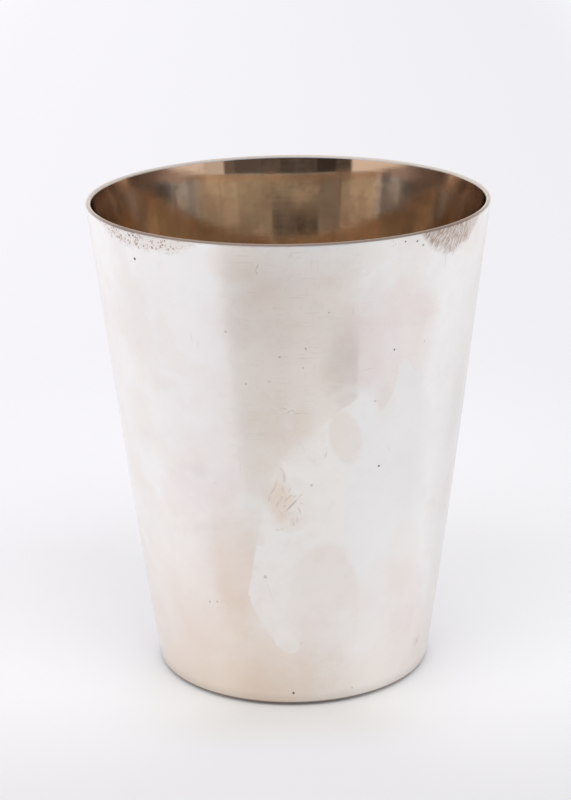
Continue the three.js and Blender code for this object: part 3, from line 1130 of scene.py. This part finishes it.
def make_floor():
    """A sheet of pale paper with painted light: a little brighter to the left and away, a painted shadow
    just in front of the cup, and a painted glow round it.
    """
    half = FLOOR_SIDE / 2
    mesh = bpy.data.meshes.new("pale_floor")
    corners = [(-half, -half), (half, -half), (half, half), (-half, half)]
    mesh.from_pydata([(x, y, -UNDER_CUP) for x, y in corners], [], [(0, 1, 2, 3)])
    material, tree, surface = principled("pale_paper_painted_light")
    x, y, _ = tree.split(tree.put("ShaderNodeTexCoord").outputs["Object"])
    # Painted light: the paper's colour is brighter to the left and away, and darker towards the front.
    colour = tree.colour_mix(tree.ramp(x, -0.13, 0.13), FLOOR_PAINTED_BRIGHT, FLOOR_PAINTED_DIM)
    colour = tree.colour_mix(tree.ramp(y, -0.12, 0.12, 1.0, 0.0), colour, FLOOR_NEAR_PAINTED_SHADE, "MULTIPLY")
    # A painted shadow on the paper just in front of the cup.
    under_front = tree.ramp(tree.math("ABSOLUTE", x), 0.010, 0.034, 1.0, 0.0)
    in_shade = tree.times(tree.ramp(y, -0.040, -0.026), under_front)
    in_shade = tree.times(in_shade, tree.ramp(y, -0.02, 0.0, 1.0, 0.0))
    colour = tree.colour_mix(in_shade, colour, FLOOR_SHADE)
    tree.feed(surface["Base Color"], colour)
    # A painted glow: the paper gives off light round the cup.
    tree.feed(surface["Emission Strength"], painted_glow_round_cup(tree, x, y))
    surface["Emission Color"].default_value = (1.0, 1.0, 1.0, 1)
    surface["Metallic"].default_value = 0.0
    surface["Roughness"].default_value = 0.9
    surface["Specular IOR Level"].default_value = 0.0
    mesh.materials.append(material)
    material.cycles.emission_sampling = "NONE"
    add_object("pale_floor", mesh)


def glowing(name, colour, strength):
    """A material that only gives light."""
    material, tree = start_material(name)
    tree.show(tree.put("ShaderNodeEmission", {"Color": colour, "Strength": strength}).outputs[0])
    material.cycles.emission_sampling = "NONE"
    return material


TENT_RADIUS = 1.7
TENT_LIGHT = 0.62


def make_light_tent():
    """A white tent over everything, which lights the paper evenly and shows in no reflection."""
    rings, sides = 8, 24
    rows = [math.radians(90 * i / rings) for i in range(rings)]
    turns = [math.radians(360 * i / sides) for i in range(sides)]
    points = [
        TENT_RADIUS * Vector((math.cos(up) * math.cos(turn), math.cos(up) * math.sin(turn), math.sin(up)))
        for up in rows for turn in turns
    ] + [(0.0, 0.0, TENT_RADIUS)]

    def corner(row, i):
        return row * sides + i % sides

    faces = [
        (corner(row, i), corner(row, i + 1), corner(row + 1, i + 1), corner(row + 1, i))
        for row in range(rings - 1) for i in range(sides)
    ]
    faces += [(corner(rings - 1, i), corner(rings - 1, i + 1), len(points) - 1) for i in range(sides)]
    mesh = bpy.data.meshes.new("light_tent")
    mesh.from_pydata(points, [], faces)
    mesh.materials.append(glowing("tent_cloth", (1.0, 1.0, 1.0, 1), TENT_LIGHT))
    tent = add_object("light_tent", mesh)
    tent.visible_camera = tent.visible_glossy = tent.visible_shadow = tent.visible_transmission = False


# What stands round the cup: degrees from the middle of the front (right is positive), from and to,
# then the same for degrees up, then the brightness. Later rows stand before earlier ones.
FRONT_SHEETS = (
    (-118, 118, -90, 11.0, 0.17),
    (-76, 76, -90, 11.0, 0.93),
    (-39, 39, -90, 12.5, 0.28),
    (39, 52, -90, 4.5, 0.72),
    (-39, -30, -90, 4.5, 0.09),
    (-30, -17, -90, 4.5, 0.05),
    (-17, -5, -90, 4.5, 0.09),
    (-5, 5, -90, 4.5, 0.075),
    (5, 17, -90, 4.5, 0.11),
    (17, 33, -90, 4.5, 0.125),
    (33, 39, -90, 4.5, 0.18),
    (-8, 4, -90, 2.2, 0.21),
    (-14, 14, 4.5, 9.0, 0.21),
    (-34, -14, 4.5, 10.15, 0.14),
    (14, 34, 4.5, 10.15, 0.15),
    (-34, -14, 10.15, 12.5, 0.40),
    (14, 34, 10.15, 12.5, 0.40),
)
# The same from the middle of the back.
BACK_SHEETS = (
    (-62, 62, -90, 10.0, 0.95),
    (-150, -116, 10.0, 16.6, 0.52),
    (-150, -126, 11.3, 16.6, 0.78),
    (-116, -100, 10.0, 16.6, 0.65),
    (-100, -76, 10.0, 12.9, 0.62),
    (-100, -76, 12.9, 16.6, 0.86),
    (-76, -62, 10.0, 16.6, 0.70),
    (-62, -33, 10.0, 16.5, 0.57),
    (-33, -20, 10.0, 16.5, 0.50),
    (-20, 36, 14.4, 16.6, 0.60),
    (36, 63, 10.0, 16.8, 0.38),
    (63, 76, 10.0, 14.2, 0.63),
    (63, 76, 14.2, 16.6, 0.46),
    (76, 100, 10.0, 16.6, 0.75),
    (100, 116, 10.0, 16.6, 0.82),
    (116, 150, 10.0, 16.6, 0.42),
    (128, 150, 11.4, 16.6, 0.70),
    (-20, 10, 10.0, 14.5, 0.165),
    (10, 36, 10.0, 14.3, 0.105),
    (62, 112, 16.6, 30.0, 0.46),
)
SHEETS_TOP = 16.6
SHEET_EDGES = 0.8, 0.3      # degrees: at their sides, and at their tops and bottoms
SHEET_LEFT, SHEET_RIGHT = 0.88, 0.88
UPPER_LEFT, UPPER_RIGHT = 0.66, 0.50
BACKDROP = 0.92
DIM_LOW = (1.0, 0.92, 0.90, 1)
DIM_HIGH = (0.95, 1.0, 1.15, 1)
PAPER_LIGHT = (1.0, 0.99, 0.975, 1)
COOL_SIDES = (0.85, 1.02, 1.40, 1)


def sheet_mask(tree, across, up, row):
    """1 on one sheet of the surroundings, 0 beside it."""
    left, right, low, high, _ = row
    soft, crisp = SHEET_EDGES
    past_left = tree.ramp(across, left - soft, left + soft)
    short_of_right = tree.ramp(across, right - soft, right + soft, 1.0, 0.0)
    over_low = tree.ramp(up, low - crisp, low + crisp)
    over_high = tree.ramp(up, high - crisp, high + crisp)
    return tree.times(tree.times(past_left, short_of_right), tree.minus(over_low, over_high))


def light_surroundings():
    """What the silver mirrors: lit paper all round, with dark openings low down between its sheets."""
    world = bpy.data.worlds.new("studio")
    bpy.context.scene.world = world
    world.use_nodes = True
    world.cycles_visibility.diffuse = False
    world.cycles.sampling_method = "NONE"
    tree = Tree(world.node_tree)
    x, y, z = tree.split(tree.put("ShaderNodeTexCoord").outputs["Generated"])
    ahead = round_from_front(tree, x, y)
    behind = tree.math("DEGREES", tree.math("ARCTAN2", x, y))
    up = tree.math("DEGREES", tree.math("ARCSINE", z))
    above = tree.ramp(up, SHEETS_TOP - 0.5, SHEETS_TOP + 0.5)
    left = tree.scaled(above, UPPER_LEFT - SHEET_LEFT, SHEET_LEFT)
    right = tree.scaled(above, UPPER_RIGHT - SHEET_RIGHT, SHEET_RIGHT)
    light = tree.blend(tree.ramp(x, -0.3, 0.3), left, right)
    for across, rows in ((ahead, FRONT_SHEETS), (behind, BACK_SHEETS)):
        for row in rows:
            light = tree.blend(sheet_mask(tree, across, up, row), light, row[4])
    dim = tree.ramp(light, 0.1, 0.6)
    tint = tree.colour_mix(tree.ramp(up, 4.0, 6.0), DIM_LOW, DIM_HIGH)
    sideways = tree.ramp(tree.math("ABSOLUTE", behind), 100.0, 125.0)
    in_rows = tree.minus(tree.ramp(up, 9.5, 10.5), tree.ramp(up, 16.0, 18.0))
    aside = tree.times(sideways, in_rows)
    tint = tree.colour_mix(dim, tint, PAPER_LIGHT)
    tint = tree.colour_mix(aside, tint, COOL_SIDES)
    shown = tree.put("ShaderNodeLightPath").outputs["Is Camera Ray"]
    strength = tree.blend(shown, light, BACKDROP)
    background = tree.put("ShaderNodeBackground", {"Color": tint, "Strength": strength})
    tree.show(background.outputs[0], "ShaderNodeOutputWorld")


def soft_light(name, place, spread, strength):
    """A broad far light that shows in no reflection, so that the silver mirrors only the paper."""
    light = bpy.data.lights.new(name, "SUN")
    light.angle, light.energy = math.radians(spread), strength
    lamp = add_object(name, light)
    lamp.location = place
    lamp.rotation_euler = Vector(place).to_track_quat("Z", "Y").to_euler()
    lamp.visible_glossy = False
    lamp.visible_camera = False


SHADE_RADIUS = 0.058
SHADE_HEIGHT = 0.064
SHADE_REACH = 40            # degrees to either side
# Where its sides stand, in degrees from the middle of the front, at its top and at the table.
SHADE_LEFT_TOP, SHADE_LEFT_FOOT, SHADE_RIGHT = -29.2, -23.0, 28.4


def make_front_shade():
    """The shaded table in front of the cup, seen only in its reflections, and fading out at its edges."""
    mesh = bpy.data.meshes.new("front_shade")
    count = 24
    angles = [math.radians(SHADE_REACH * (2 * i / count - 1)) for i in range(count + 1)]
    ring = [(SHADE_RADIUS * math.sin(a), -SHADE_RADIUS * math.cos(a)) for a in angles]
    points = [(x, y, z) for z in (0.0, SHADE_HEIGHT) for x, y in ring]
    mesh.from_pydata(points, [], [(i, i + 1, i + count + 2, i + count + 1) for i in range(count)])

    material, tree = start_material("shaded_table")
    x, y, z = tree.split(tree.put("ShaderNodeTexCoord").outputs["Object"])
    across = round_from_front(tree, x, y)
    up = tree.math("DIVIDE", z, SHADE_HEIGHT)
    left = tree.scaled(up, SHADE_LEFT_TOP - SHADE_LEFT_FOOT, SHADE_LEFT_FOOT)
    softness = tree.scaled(up, -3.3, 4.0)
    from_left = tree.math("DIVIDE", tree.minus(across, left), softness)
    from_right = tree.math("DIVIDE", tree.minus(SHADE_RIGHT, across), softness)
    solid = tree.times(tree.ramp(from_left, -0.5, 0.5), tree.ramp(from_right, -0.5, 0.5))
    solid = tree.times(solid, tree.ramp(z, 0.0, 0.020))
    strength = tree.ramp(z, 0.016, 0.056, 0.745, 0.71)
    strength = tree.plus(strength, tree.ramp(across, -26.0, 26.0, -0.02, 0.05))
    glow = tree.put("ShaderNodeEmission", {"Color": (1.0, 0.965, 0.93, 1), "Strength": strength})
    clear = tree.put("ShaderNodeBsdfTransparent")
    mixed = tree.put("ShaderNodeMixShader", {0: solid, 1: clear.outputs[0], 2: glow.outputs[0]})
    tree.show(mixed.outputs[0])
    material.cycles.emission_sampling = "NONE"
    mesh.materials.append(material)
    shade = add_object("front_shade", mesh)
    shade.visible_camera = shade.visible_diffuse = shade.visible_shadow = False


LENS = 101.55
CAMERA_DISTANCE = 0.369
CAMERA_ELEVATION = 18.66
CAMERA_TILT, CAMERA_TURN, CAMERA_ROLL = 0.75, 0.14, -0.78


def make_camera():
    """Looks down a little at the middle of the cup's front, and leans a touch."""
    camera = add_object("camera", bpy.data.cameras.new("camera"))
    camera.data.lens = LENS
    camera.data.clip_start = 0.01
    down = math.radians(CAMERA_ELEVATION)
    place = (0.0, -CAMERA_DISTANCE * math.cos(down), HEIGHT / 2 + CAMERA_DISTANCE * math.sin(down))
    turn = Matrix.Rotation(math.radians(CAMERA_TURN), 4, "Z")
    pitch = Matrix.Rotation(math.radians(90 - CAMERA_ELEVATION + CAMERA_TILT), 4, "X")
    roll = Matrix.Rotation(math.radians(CAMERA_ROLL), 4, "Z")
    camera.matrix_world = Matrix.Translation(place) @ turn @ pitch @ roll
    bpy.context.scene.camera = camera


# ---------------------------------------------------------------- the whole scene

cup = make_cup(worn_silver(), brown_lining())
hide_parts("cup")
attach(cup, "root")

make_floor()
make_light_tent()
make_front_shade()
light_surroundings()
for side, x in (("left", -0.7), ("right", 0.7)):
    soft_light(f"front_{side}_light", (x, -0.9, 1.2), spread=50.0, strength=0.75)
make_camera()
bpy.context.scene.view_settings.view_transform = "Standard"
bpy.context.scene.cycles.glossy_bounces = 8
